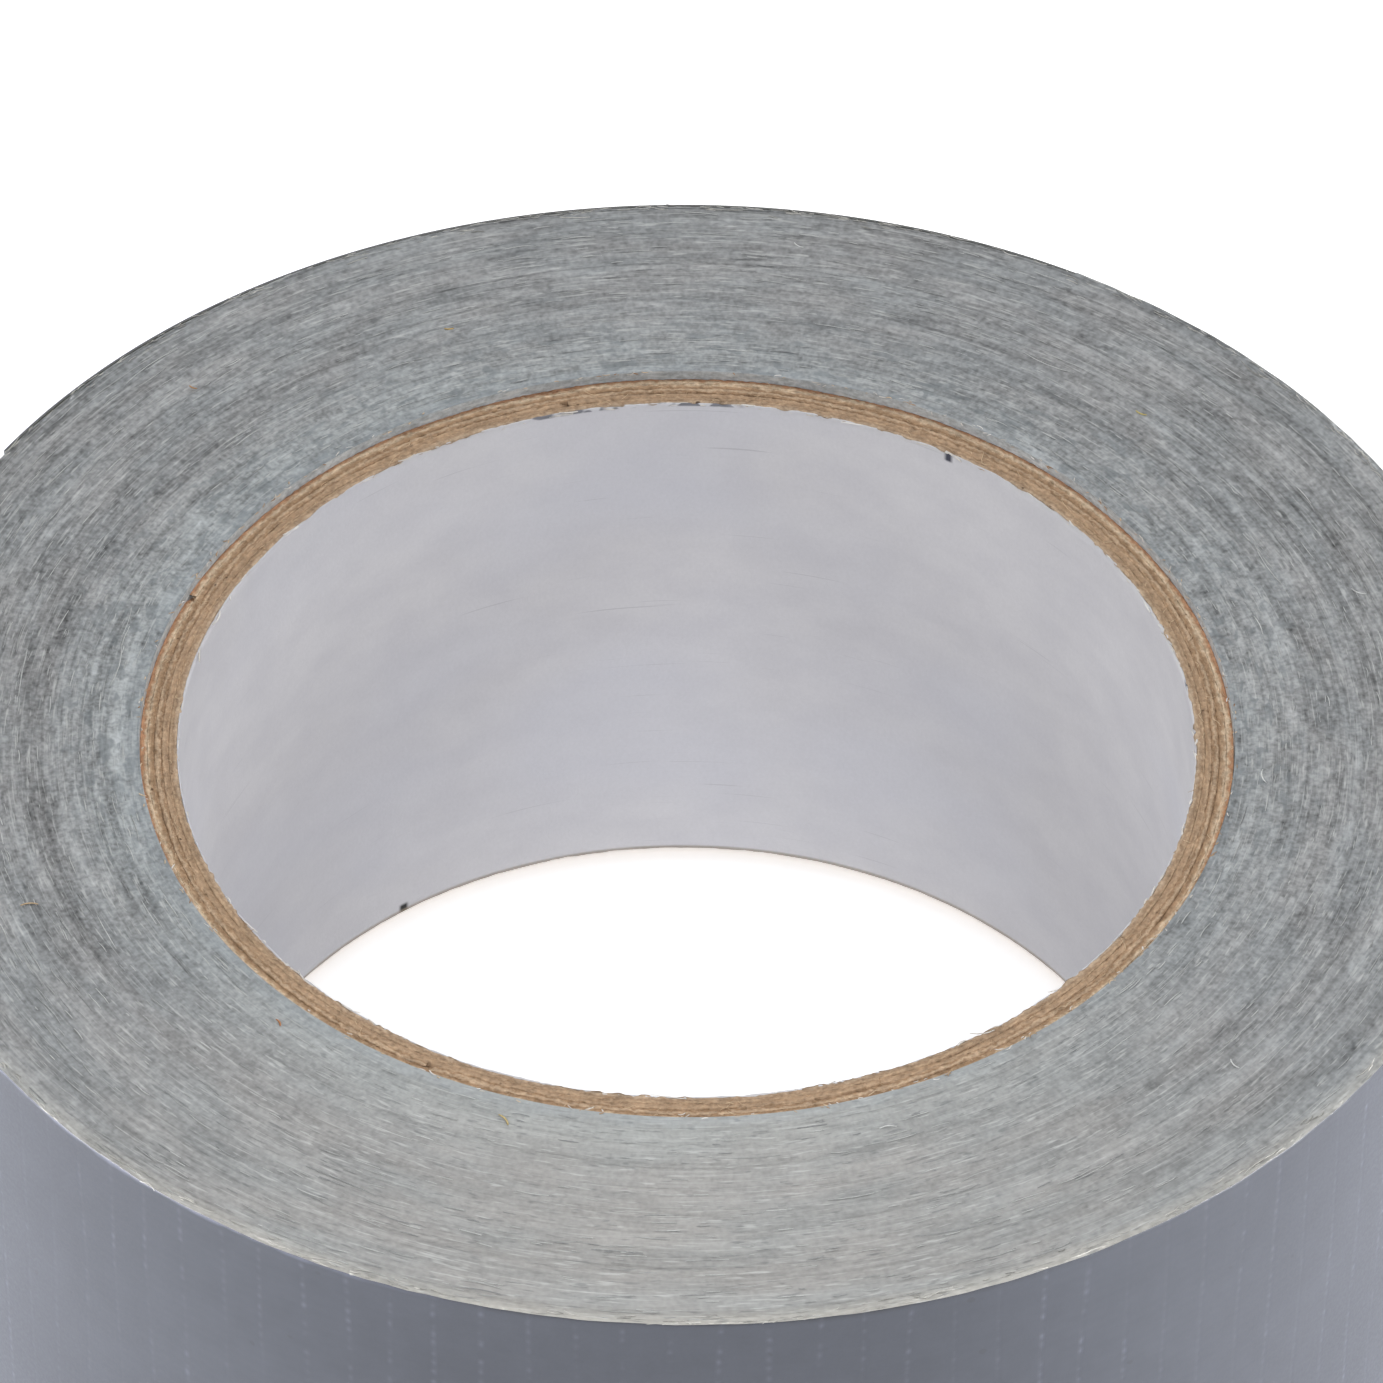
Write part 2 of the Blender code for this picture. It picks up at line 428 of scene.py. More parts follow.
def film_material():
    """Satin polyethylene film, with the scrim showing through as faint dotted columns."""
    shader = Shader("tape_film")
    strip = shader.node("ShaderNodeUVMap", uv_map="strip_mm").outputs["UV"]
    along, up, _ = shader.separate(strip)
    drift = shader.strip_noise(7.0, 30.0, detail=1.0)
    weft = shader.math("PINGPONG", shader.mixture(along, (1.6, drift)), WEFT_PITCH_MM / 2)
    weft = shader.spread(weft, 0.0, 0.30, 1.0, 0.0)
    warp = shader.math("PINGPONG", up, DOT_PITCH_MM / 2)
    warp = shader.spread(warp, 0.05, 0.40, 1.0, 0.0)
    uneven = shader.strip_noise(2.6, 1.4)
    where = shader.strip_noise(9.0, 14.0)
    crossing = shader.times(weft, shader.math("ADD", warp, 0.25))
    crossing = shader.times(crossing, shader.spread(uneven, 0.40, 0.60))
    crossing = shader.times(crossing, shader.spread(where, 0.38, 0.60, 0.15, 1.0))
    cloud = shader.strip_noise(26.0, 18.0)
    grain = shader.strip_noise(0.32, 0.32, roughness=0.7)
    mottle = shader.strip_noise(2.2, 2.6, detail=3.0, roughness=0.6)
    colour = shader.two_tones(cloud, 0.35, 0.65, (61, 64, 73), (65, 68, 77))
    colour = shader.blend(shader.times(crossing, 0.16), colour, linear(126, 130, 148))
    colour = shader.brighten(colour, shader.mixture(1.0, (0.30, mottle), (0.35, grain)))
    specks = shader.strip_noise(1.1, 1.1, detail=0.0)
    colour = shader.stain(colour, specks, 0.82, 0.86, 0.5, (54, 55, 60))
    # just under the rim the film curls in, and there a painted shade towards -Y and a painted
    # highlight towards -X are blended in
    facing = shader.facing()
    curl = shader.two_tones(facing[0], -0.2, -0.5, (48, 49, 53), (112, 115, 134))
    edge = shader.spread(shader.mixture(up, (0.7, uneven)), 49.55, 49.85, 0.0, 0.45)
    edge = shader.times(edge, shader.spread(facing[0], 0.25, 0.5, 1.0, 0.0))
    colour = shader.blend(edge, colour, curl)
    relief = shader.math("ADD", shader.times(weft, 0.35), shader.times(warp, 0.20))
    woven = shader.bump(shader.math("ADD", relief, crossing), 0.00002, 0.5)
    return shader.finish(colour, shader.spread(grain, 0.3, 0.7, 0.36, 0.50), 0.45,
                         shader.bump(grain, 0.00001, 0.4, woven))


def kraft_material():
    """Brown paperboard cut across: pale and dark layers, uneven, with fibres and grit in them."""
    shader = Shader("kraft_board")
    inside = shader.math("SUBTRACT", shader.radius_mm(), FIRST_PLY_RADIUS / MM)
    waver = shader.round_noise(5.0, 1.5)
    ragged = shader.round_noise(0.7, 0.40, roughness=0.6)
    bent = shader.mixture(inside, (0.55, waver), (0.75, ragged))
    layer = shader.math("DIVIDE", bent, PLY_COUNT * PLY_PITCH / MM)
    colour = shader.ramp(layer, BOARD_TONES)
    fibres = shader.round_noise(0.9, 0.16, roughness=0.6)
    grain = shader.round_noise(0.50, 0.32, roughness=0.65)
    blotches = shader.round_noise(1.8, 0.7)
    # painted light and shade: the board is painted darker towards +Y and -Y and lighter towards +X
    # and -X
    side = shader.math("ABSOLUTE", shader.separate(shader.object_place())[0])
    side = shader.spread(side, 0.25 * BORE_RADIUS, 0.95 * BORE_RADIUS, 0.92, 1.02)
    tone = shader.mixture(side, (0.30, fibres), (1.05, grain), (0.7, blotches))
    colour = shader.brighten(colour, tone)
    grit = shader.round_noise(0.9, 0.5, detail=0.0)
    colour = shader.stain(colour, grit, 0.83, 0.88, 0.8, (66, 48, 38))
    relief = shader.bump(fibres, 0.00014, 0.8, shader.bump(grain, 0.00012, 0.8))
    return shader.finish(colour, 0.92, 0.15, relief)


def liner_material():
    """Blank grey paper glued into the bore, with old print showing as dashes at its top edge."""
    shader = Shader("liner_paper")
    soft = shader.round_noise(7.0, 3.0, upright=True, detail=3.0)
    wide = shader.round_noise(30.0, 14.0, upright=True, detail=1.0)
    grain = shader.round_noise(0.35, 0.30, upright=True, detail=3.0, roughness=0.7)
    crease_shade = shader.round_noise(14.0, 0.22, upright=True, detail=1.0)
    colour = shader.two_tones(soft, 0.35, 0.65, (202, 201, 205), (208, 207, 210))
    colour = shader.stain(colour, wide, 0.45, 0.68, 0.5, (203, 204, 212))
    across, back, height = shader.separate(shader.object_place())
    # painted light and shade: the paper is painted darker towards +X and -X, and lighter towards
    # its top
    side = shader.math("ABSOLUTE", across)
    side = shader.spread(side, 0.05 * BORE_RADIUS, 0.75 * BORE_RADIUS, 1.0, 0.88)
    colour = shader.brighten(colour, shader.spread(height, 8 * MM, 40 * MM, 1.0, 1.10))
    colour = shader.brighten(colour, shader.mixture(side, (0.14, grain)))
    # painted shade: thin dark lines along the creases
    colour = shader.stain(colour, crease_shade, 0.74, 0.80, 0.5, (176, 175, 180))
    bearing = shader.math("ARCTAN2", back, across)

    def off(degrees):
        """How far the bearing is from one, in radians."""
        return shader.math("ABSOLUTE", shader.math("SUBTRACT", bearing, math.radians(degrees)))

    # two runs of dashes along the top edge, then a blot at the top and one at the bottom
    where = shader.math("MAXIMUM", shader.spread(off(97), 0.24, 0.20),
                        shader.spread(off(5), 0.09, 0.07))
    dashes = shader.round_noise(1.7, 0.9, upright=True, detail=1.0)
    dashes = shader.times(shader.spread(dashes, 0.50, 0.56), where)
    top = shader.spread(height, CORE_HIGH - 0.42 * MM, CORE_HIGH - 0.30 * MM, 0.0, 0.75)
    blot = shader.times(shader.spread(off(58), 0.012, 0.004),
                        shader.spread(height, CORE_HIGH - 1.0 * MM, CORE_HIGH - 0.8 * MM))
    dashes = shader.math("MAXIMUM", shader.times(dashes, top), blot)
    colour = shader.blend(dashes, colour, linear(70, 72, 84))
    blot = shader.times(shader.spread(off(127), 0.014, 0.006),
                        shader.spread(height, CORE_LOW + 1.0 * MM, CORE_LOW + 0.7 * MM))
    colour = shader.blend(blot, colour, linear(40, 38, 38))
    bottom = (CORE_LOW + 0.42 * MM, CORE_LOW + 0.22 * MM)
    colour = shader.stain(colour, height, *bottom, 0.65, (150, 138, 120))
    return shader.finish(colour, shader.spread(grain, 0.3, 0.7, 0.70, 0.85), 0.3,
                         shader.bump(grain, 0.00003, 0.5))


def thread_material(name, pale, deep):
    """Spun fibre. The tone attribute runs from 0, deep, to 1, pale, from fibre to fibre."""
    shader = Shader(name)
    grain = shader.noise(shader.object_place(), 6000.0)
    tone = shader.math("ADD", shader.attribute("tone"), shader.spread(grain, 0.3, 0.7, -0.15, 0.15),
                       clamp=True)
    return shader.finish(shader.blend(tone, linear(*deep), linear(*pale)), 0.9, 0.2)


def lint_material():
    """Coloured and white fluff. The tone attribute picks one of six colours."""
    shader = Shader("lint")
    tones = ((0.0, (182, 98, 74)), (0.2, (168, 148, 98)), (0.4, (196, 150, 104)),
             (0.6, (194, 186, 108)), (0.8, (190, 164, 130)), (1.0, (216, 218, 217)))
    grain = shader.noise(shader.object_place(), 4000.0)
    colour = shader.ramp(shader.attribute("tone"), tones)
    return shader.finish(shader.brighten(colour, shader.spread(grain, 0.3, 0.7, 0.85, 1.1)), 0.9)


def adhesive_material():
    """Rubber adhesive, pale grey and slightly glossy, with the cloth pressed into it."""
    shader = Shader("rubber_adhesive")
    cloud = shader.strip_noise(6.0, 6.0, detail=3.0)
    grain = shader.strip_noise(0.5, 0.5, detail=3.0, roughness=0.6)
    colour = shader.two_tones(cloud, 0.35, 0.65, (92, 94, 92), (106, 107, 104))
    colour = shader.stain(colour, grain, 0.3, 0.7, 0.3, (120, 120, 115))
    return shader.finish(colour, shader.spread(grain, 0.3, 0.7, 0.30, 0.55),
                         relief=shader.bump(grain, 0.00003, 0.6))


# ---------------------------------------------------------------- mesh building
def smooth_random(places, spacing, rng):
    """A smooth random curve through random heights that stand spacing apart, read at places."""
    knots = rng.normal(size=int((places.max() - places.min()) / spacing) + 3)
    at = (places - places.min()) / spacing
    left = np.floor(at).astype(int)
    part = at - left
    part = part * part * (3 - 2 * part)
    return knots[left] * (1 - part) + knots[left + 1] * part


def round_random(angles, bumps, rng):
    """A smooth random curve that closes on itself after a full turn, with about that many bumps."""
    knots = rng.normal(size=bumps)
    at = (angles % TAU) / TAU * bumps
    left = np.floor(at).astype(int)
    part = at - left
    part = part * part * (3 - 2 * part)
    return knots[left % bumps] * (1 - part) + knots[(left + 1) % bumps] * part


def polar_points(radius, angle, height):
    radius, angle, height = np.broadcast_arrays(radius, angle, height)
    return np.stack([radius * np.cos(angle), radius * np.sin(angle), height], -1)


def add_piece(name, points, quads, material, strip=None, tone=None):
    """A mesh object with quads, or triangles where a quad's last two corners are the same."""
    points = np.asarray(points, np.float64).reshape(-1, 3)
    quads = np.asarray(quads).reshape(-1, 4)
    triangle = quads[:, 2] == quads[:, 3]
    sizes = np.where(triangle, 3, 4)
    keep = np.ones(quads.shape, bool)
    keep[triangle, 3] = False
    corners = quads[keep]
    mesh = bpy.data.meshes.new(name)
    mesh.vertices.add(len(points))
    mesh.vertices.foreach_set("co", points.ravel())
    mesh.loops.add(len(corners))
    mesh.loops.foreach_set("vertex_index", corners.astype(np.int32))
    mesh.polygons.add(len(quads))
    mesh.polygons.foreach_set("loop_start", np.concatenate([[0], np.cumsum(sizes)[:-1]]))
    mesh.polygons.foreach_set("loop_total", sizes)
    mesh.update(calc_edges=True)
    mesh.shade_smooth()
    if strip is not None:
        layer = mesh.uv_layers.new(name="strip_mm")
        layer.data.foreach_set("uv", np.asarray(strip).reshape(-1, 2)[corners].ravel())
    if tone is not None:
        attribute = mesh.attributes.new("tone", "FLOAT", "POINT")
        attribute.data.foreach_set("value", np.asarray(tone, np.float32).ravel())
    mesh.materials.append(material)
    piece = bpy.data.objects.new(name, mesh)
    bpy.context.scene.collection.objects.link(piece)
    return piece


def grid_quads(rows, columns, around=False):
    """Quads of a grid whose point (row, column) has the number row * columns + column."""
    numbers = np.arange(rows * columns).reshape(rows, columns)
    right = np.roll(numbers, -1, axis=1) if around else numbers[:, 1:]
    left = numbers if around else numbers[:, :-1]
    return np.stack([left[:-1], right[:-1], right[1:], left[1:]], -1).reshape(-1, 4)


# ---------------------------------------------------------------- the wound tape
COLUMNS_PER_TURN = 560
EDGE_GROOVE = 0.035 * MM
THINNEST = 0.004 * MM
# how far the strip's edge lies below the end face: on the whole, and how much that varies over
# many turns, along the strip, over short stretches, in the last turns, which are frayed, and
# between the strip's two faces
LEVEL_MEAN = 0.11 * MM
LEVEL_BAND = 0.05 * MM
LEVEL_TURN = 0.022 * MM
LEVEL_SHORT = 0.008 * MM
LEVEL_RIM = 0.035 * MM
LEVEL_TILT = 0.010 * MM
FRAYED_TURNS = 3.5
WEFT_PITCH_MM = 3.4
WARP_PITCH_MM = 1.3
DOT_PITCH_MM = 0.98
FILM_ROWS = 72
FILM_EDGE_ROWS = (0.0, 0.03 * MM, 0.07 * MM, 0.13 * MM, 0.22 * MM)
FILM_EDGE_CURL = 0.07 * MM


def turn_angle(turns):
    return FREE_END_ANGLE - TAU * turns


def outside_radius(turns):
    """Outer radius of the strip. It is pressed in a little where the tail lies on it.

    The tail is the first quarter turn, so it lies on the strip from one turn to one and a quarter.
    """
    under_tail = np.clip(np.minimum(turns - 0.99, 1.26 - turns) / 0.01, 0, 1)
    return ROLL_RADIUS - TAPE_THICKNESS * turns - TAIL_CLEARANCE * under_tail


class EdgeLevels:
    """How far each stretch of the strip's edge lies below the flat end face."""

    def __init__(self, seed):
        rng = np.random.default_rng(seed)
        count = int((LAST_TURN + 1 - PEEL_TURNS) * COLUMNS_PER_TURN)
        self.turns = PEEL_TURNS + np.arange(count + 1) / COLUMNS_PER_TURN
        along = self.turns * CIRCUMFERENCE
        bands = smooth_random(self.turns, 9.0, rng) + 0.6 * smooth_random(self.turns, 3.1, rng)
        level = LEVEL_BAND * bands
        level += LEVEL_TURN * smooth_random(along, 30 * MM, rng)
        level += LEVEL_SHORT * smooth_random(along, 2.5 * MM, rng)
        rim = np.clip((FRAYED_TURNS - self.turns) / 3.0, 0, 1)
        level += rim * LEVEL_RIM * smooth_random(along, 1.6 * MM, rng)
        self.outer = np.maximum(LEVEL_MEAN + level, 0.0)
        tilt = LEVEL_TILT * smooth_random(along, 5 * MM, rng)
        self.inner = np.maximum(self.outer + tilt, 0.0)


def make_tape_end(name, levels, face_z, inwards, material):
    """One side of the wound tape: the strip's edge, turn by turn, with a groove after each."""
    turns = levels.turns
    angle = turn_angle(turns)
    outside = outside_radius(turns)
    inside = np.maximum(outside - TAPE_THICKNESS + EDGE_GROOVE, WOUND_INNER_RADIUS)
    outside = np.maximum(outside, WOUND_INNER_RADIUS + THINNEST)
    outer = polar_points(outside, angle, face_z + inwards * levels.outer)
    inner = polar_points(inside, angle, face_z + inwards * levels.inner)
    count = len(turns)
    points = np.concatenate([outer, inner])
    first = np.arange(count - 1)
    edge = np.stack([first, first + count, first + count + 1, first + 1], -1)
    step = np.arange(count - 1 - COLUMNS_PER_TURN)
    below = step + COLUMNS_PER_TURN
    groove = np.stack([step + count, below, below + 1, step + count + 1], -1)
    quads = np.concatenate([edge, groove])
    if inwards > 0:
        quads = quads[:, ::-1]
    piece = add_piece(name, points, quads, material)
    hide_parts("tape_windings")
    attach(piece, "roll")


def make_outer_film(upper, lower, material):
    """The film of the last whole turn, with the faint relief of the cloth under it."""
    rng = np.random.default_rng(31)
    keep = slice(0, COLUMNS_PER_TURN + 1)
    turns = upper.turns[keep]
    top = FACE_Z - upper.outer[keep]
    bottom = FACE_Z - TAPE_WIDTH + lower.outer[keep]
    curl = np.array(FILM_EDGE_ROWS)
    rows = np.linspace(0, 1, FILM_ROWS)[1:-1]
    rows = np.concatenate([curl / TAPE_WIDTH, rows, 1 - curl[::-1] / TAPE_WIDTH])[:, None]
    height = bottom + (top - bottom) * rows
    along = turns * CIRCUMFERENCE
    swell = 0.012 * MM * smooth_random(along, 14 * MM, rng)
    radius = outside_radius(turns) + swell * np.sin(math.pi * rows)
    from_edge = np.minimum(rows, 1 - rows) * TAPE_WIDTH
    radius -= FILM_EDGE_CURL * np.clip(1 - from_edge / FILM_EDGE_ROWS[-1], 0, 1) ** 2
    angle = turn_angle(turns)
    points = polar_points(radius, angle, height)
    strip = np.stack(np.broadcast_arrays(along / MM, height / MM), -1)
    quads = grid_quads(len(rows), len(turns))
    piece = add_piece("outer_film", points, quads, material, strip=strip)
    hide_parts("tape_windings")
    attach(piece, "roll")


def make_inner_turn(upper, lower, material):
    """The back of the first turn, which shows above the recessed core."""
    last = slice(-COLUMNS_PER_TURN, None)
    angle = turn_angle(upper.turns[last])
    top = FACE_Z - upper.inner[last]
    bottom = FACE_Z - TAPE_WIDTH + lower.inner[last]
    height = np.stack([bottom, bottom + 0.4 * MM, np.full_like(top, CORE_LOW),
                       np.full_like(top, CORE_HIGH), top - 0.4 * MM, top])
    points = polar_points(WOUND_INNER_RADIUS, angle, height)
    quads = grid_quads(len(height), COLUMNS_PER_TURN, around=True)
    piece = add_piece("first_turn_back", points, quads, material)
    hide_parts("tape_windings")
    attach(piece, "roll")


# ---------------------------------------------------------------- threads and fibres
STRAND_SIDES = 4
STRAND_POINTS = 5


def unit(vectors):
    return vectors / np.linalg.norm(vectors, axis=-1, keepdims=True)


def strand_mesh(paths, reach, side, up, flatness):
    """Points and quads of closed four-sided strands. reach is the radius along each path."""
    strands, count, _ = paths.shape
    ring = np.arange(STRAND_SIDES) / STRAND_SIDES * TAU
    points = (paths[:, :, None] + reach * np.cos(ring)[:, None] * side[:, :, None]
              + reach * flatness * np.sin(ring)[:, None] * up[:, :, None])
    size = count * STRAND_SIDES
    ends = np.array([[0, 3, 2, 1], [size - STRAND_SIDES + k for k in range(STRAND_SIDES)]])
    one = np.concatenate([grid_quads(count, STRAND_SIDES, around=True), ends])
    quads = (one[None] + np.arange(strands)[:, None, None] * size).reshape(-1, 4)
    return points.reshape(-1, 3), quads


def add_threads(name, paths, widths, material, flatness=1.0, *, tone):
    """Tapered strands. paths is (strands, points, 3). widths, radii, and tone go by strand."""
    strands, count, _ = paths.shape
    forward = unit(np.gradient(paths, axis=1))
    up = np.zeros_like(forward)
    up[..., 2] = 1.0
    up[np.abs(forward[..., 2]) > 0.9] = (1.0, 0.0, 0.0)
    side = unit(np.cross(forward, up))
    taper = np.sin(np.linspace(0.12, 0.88, count) * math.pi) ** 0.5
    reach = widths[:, None, None, None] * taper[None, :, None, None]
    points, quads = strand_mesh(paths, reach, side, np.cross(side, forward), flatness)
    return add_piece(name, points, quads, material, tone=np.repeat(tone, count * STRAND_SIDES))


def random_lengths(rng, count, typical_mm, variety, shortest_mm, longest_mm):
    """Lengths of strands: most of them short, and a few much longer."""
    lengths = rng.lognormal(math.log(typical_mm * MM), variety, count)
    return np.clip(lengths, shortest_mm * MM, longest_mm * MM)


def strands_round(rng, radius, height, length, stray, curl, lift=0.0):
    """Strands that follow the turns, some of them straying from the turn or curling up."""
    count = len(radius)
    middle = rng.uniform(0, TAU, count)
    heading = rng.normal(size=count) * stray
    part = np.linspace(-0.5, 0.5, STRAND_POINTS)[None, :]
    along = part * length[:, None]
    bend = rng.normal(size=(count, 1)) * curl * length[:, None] * (part ** 2 * 4 - 0.4)
    out = along * np.sin(heading)[:, None] + bend
    angle = middle[:, None] + along * np.cos(heading)[:, None] / radius[:, None]
    rise = lift * length[:, None] * rng.uniform(0, 1, (count, 1)) * (part + 0.5) ** 2
    return polar_points(radius[:, None] + out, angle, height[:, None] + rise)


def make_face_threads(material):
    """Stretches of cut warp thread lying in the upper and lower end faces."""
    for name, seed, face_z, outwards, count in (
            ("face_threads_upper", 41, FACE_Z, 1, 2600), ("face_threads_lower", 42, 0.0, -1, 1400)):
        rng = np.random.default_rng(seed)
        inner, outer = (WOUND_INNER_RADIUS + 0.7 * MM) ** 2, (ROLL_RADIUS - 0.4 * MM) ** 2
        radius = np.sqrt(rng.uniform(inner, outer, count))
        length = random_lengths(rng, count, 1.1, 0.6, 0.4, 6)
        depth = rng.uniform(0.03, 0.11, count) * MM
        height = np.full(count, face_z) - outwards * depth
        width = rng.uniform(0.018, 0.045, count) * MM
        paths = strands_round(rng, radius, height, length, stray=0.04, curl=0.03)
        tone = rng.uniform(0, 1, count)
        piece = add_threads(name, paths, width, material, 0.6, tone=tone)
        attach(piece, "roll")


def make_rim_fringe(material):
    """Frayed cloth along the two edges of the outermost turn."""
    for name, seed, level, outwards, count in (
            ("rim_fringe_upper", 51, FACE_Z - 0.09 * MM, 1, 900),
            ("rim_fringe_lower", 52, 0.12 * MM, -1, 350)):
        rng = np.random.default_rng(seed)
        radius = ROLL_RADIUS - 0.22 * MM - np.abs(rng.normal(size=count)) * 0.35 * MM
        length = random_lengths(rng, count, 0.8, 0.5, 0.3, 3)
        height = level + rng.uniform(-0.03, 0.05, count) * MM * outwards
        paths = strands_round(rng, radius, height, length, stray=0.12, curl=0.08, lift=0.05)
        width = rng.uniform(0.02, 0.05, count) * MM
        piece = add_threads(name, paths, width, material, tone=rng.uniform(0.2, 1, count))
        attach(piece, "roll")


def make_lint(material):
    """A few bits of fluff stuck to the upper end face, half of them white."""
    rng = np.random.default_rng(45)
    count = 12
    middle = (np.arange(count) + rng.uniform(0.1, 0.9, count)) / count * TAU
    radius = rng.uniform(WOUND_INNER_RADIUS + 1.5 * MM, ROLL_RADIUS - 4 * MM, count)
    length = rng.uniform(0.6, 1.5, count) * MM
    heading = rng.normal(size=count) * math.radians(40)
    white = rng.permutation(count) < count // 2
    tone = np.where(white, 1.0, rng.uniform(0.0, 0.9, count))
    part = np.linspace(-0.5, 0.5, 7)[None, :]
    along = part * length[:, None]
    bend = 0.14 * length[:, None] * part ** 2 * 4
    out = along * np.sin(heading)[:, None] + bend * np.cos(heading)[:, None]
    angle = middle[:, None] + (along * np.cos(heading)[:, None]
                               - bend * np.sin(heading)[:, None]) / radius[:, None]
    paths = polar_points(radius[:, None] + out, angle, FACE_Z - 0.01 * MM)
    width = np.where(white, 0.060, 0.080) * MM
    piece = add_threads("lint", paths, width, material, 0.6, tone=tone)
    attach(piece, "roll")


# ---------------------------------------------------------------- the core
PLY_STEPS = 900
PLY_GROOVE = 0.012 * MM
COLLAR = 0.3 * MM
PLY_PROFILE = np.array([0.0, 0.10, 0.30, 0.50, 0.70, 0.90, 1.0])


def ply_quads(count, steps):
    """Quads of a ply: count rows on its top, count below, one for its collar, and both ends."""
    rows = 2 * count + 1
    numbers = np.arange(rows * steps).reshape(rows, steps)
    following = np.roll(numbers, -1, axis=0)
    skin = np.stack([numbers[:, :-1], following[:, :-1], following[:, 1:], numbers[:, 1:]], -1)
    ends = []
    for column, flip in ((0, False), (steps - 1, True)):
        loop = numbers[:, column]
        for k in range(count - 1):
            face = [loop[k], loop[k + 1], loop[rows - 3 - k], loop[rows - 2 - k]]
            ends.append(face if flip else face[::-1])
        face = [loop[0], loop[rows - 2], loop[rows - 1]]
        face = face if flip else face[::-1]
        ends.append(face + face[-1:])
    return np.concatenate([skin.reshape(-1, 4), np.array(ends)])


def make_plies(material):
    """Five plies, each one strip wrapped once, with a rough cut edge and a slanted seam."""
    for ply in range(PLY_COUNT):
        rng = np.random.default_rng(60 + ply)
        inner = FIRST_PLY_RADIUS + ply * PLY_PITCH
        gap = PLY_SEAM_GAP / inner
        steps = int(PLY_STEPS * (TAU + PLY_SEAM_RUN) / TAU)
        turned = np.linspace(0.002, TAU + PLY_SEAM_RUN - gap - 0.002, steps)
        low = np.clip((turned - (TAU - gap)) / PLY_SEAM_RUN, 0, 1)
        high = np.clip(turned / PLY_SEAM_RUN, 0, 1)
        span = CORE_HIGH - CORE_LOW
        full = np.clip((high - low) * 12, 0, 1)
        angle = FIRST_SEAM_ANGLE + ply * SEAM_STAGGER + turned
        count = len(PLY_PROFILE)
        edge_drop = 0.03 * MM * np.abs(2 * PLY_PROFILE - 1) ** 4

        def rough(side_seed):
            side_rng = np.random.default_rng(side_seed)
            slow = round_random(angle, 40, side_rng) * 0.05 * MM
            fine = side_rng.normal(size=(count, steps)) * 0.028 * MM
            return np.maximum(slow + 0.07 * MM + fine + edge_drop[:, None], 0.0) * full

        top = CORE_LOW + span * high - rough(160 + ply)
        bottom = CORE_LOW + span * low + rough(260 + ply)
        wobble = rng.normal(size=(count, steps)) * 0.008 * MM
        radius = inner + (PLY_PITCH - PLY_GROOVE) * PLY_PROFILE[:, None] + wobble * np.array(
            [0, 1, 1, 1, 1, 1, 0])[:, None]
        collar = polar_points(radius[:1], angle, np.maximum(top[:1] - COLLAR, bottom[:1]))
        if ply == 0:
            torn = np.abs(round_random(angle, 210, rng)) * 0.10 * MM
            torn += np.abs(round_random(angle, 620, rng)) * 0.07 * MM
            radius[0] -= np.minimum(torn, 0.34 * MM) * full
        upper = polar_points(radius, angle, top)
        radius[0] = inner
        lower = polar_points(radius[::-1], angle, bottom[::-1])
        points = np.concatenate([upper, lower, collar])
        piece = add_piece(f"ply_board_{ply + 1}", points, ply_quads(count, steps), material)
        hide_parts(f"core_ply_{ply + 1}")
        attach(piece, "roll")


def make_core_fuzz(paper_fibre, kraft_fibre):
    """Loose fibres and torn scraps of paper along the core's cut edges."""
    rng = np.random.default_rng(71)
    count = 420
    radius = rng.uniform(BORE_RADIUS + 0.2 * MM, WOUND_INNER_RADIUS - 0.1 * MM, count)
    length = random_lengths(rng, count, 0.6, 0.5, 0.25, 2.2)
    height = CORE_HIGH + rng.uniform(-0.10, 0.02, count) * MM
    paths = strands_round(rng, radius, height, length, stray=0.6, curl=0.2, lift=0.12)
    piece = add_threads("kraft_fibres", paths, rng.uniform(0.012, 0.03, count) * MM, kraft_fibre,
                        tone=rng.uniform(0, 1, count))
    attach(piece, "roll")
    count = 330
    radius = WOUND_INNER_RADIUS + rng.uniform(-0.25, 0.25, count) * MM
    length = random_lengths(rng, count, 0.38, 0.35, 0.2, 0.8)
    height = FACE_Z - rng.uniform(0.02, 0.25, count) * MM
    paths = strands_round(rng, radius, height, length, stray=0.5, curl=0.12)
    for name, part, fibre, slot in (
            ("core_tufts", slice(0, 190), kraft_fibre, "kraft_board"),
            ("first_turn_nicks", slice(190, count), paper_fibre, "wound_tape")):
        size = len(paths[part])
        piece = add_threads(name, paths[part], rng.uniform(0.025, 0.06, size) * MM, fibre, 0.7,
                            tone=rng.uniform(0, 1, size))
        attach(piece, "roll")
    count = 120
    radius = BORE_RADIUS + rng.uniform(0.0, 0.12, count) * MM
    length = random_lengths(rng, count, 0.7, 0.6, 0.25, 2.6)
    height = CORE_HIGH - rng.uniform(0.0, 0.35, count) * MM
    paths = strands_round(rng, radius, height, length, stray=0.20, curl=0.06, lift=0.06)
    piece = add_threads("torn_paper", paths, rng.uniform(0.04, 0.11, count) * MM, paper_fibre, 0.4,
                        tone=rng.uniform(0.3, 1, count))
    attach(piece, "roll")


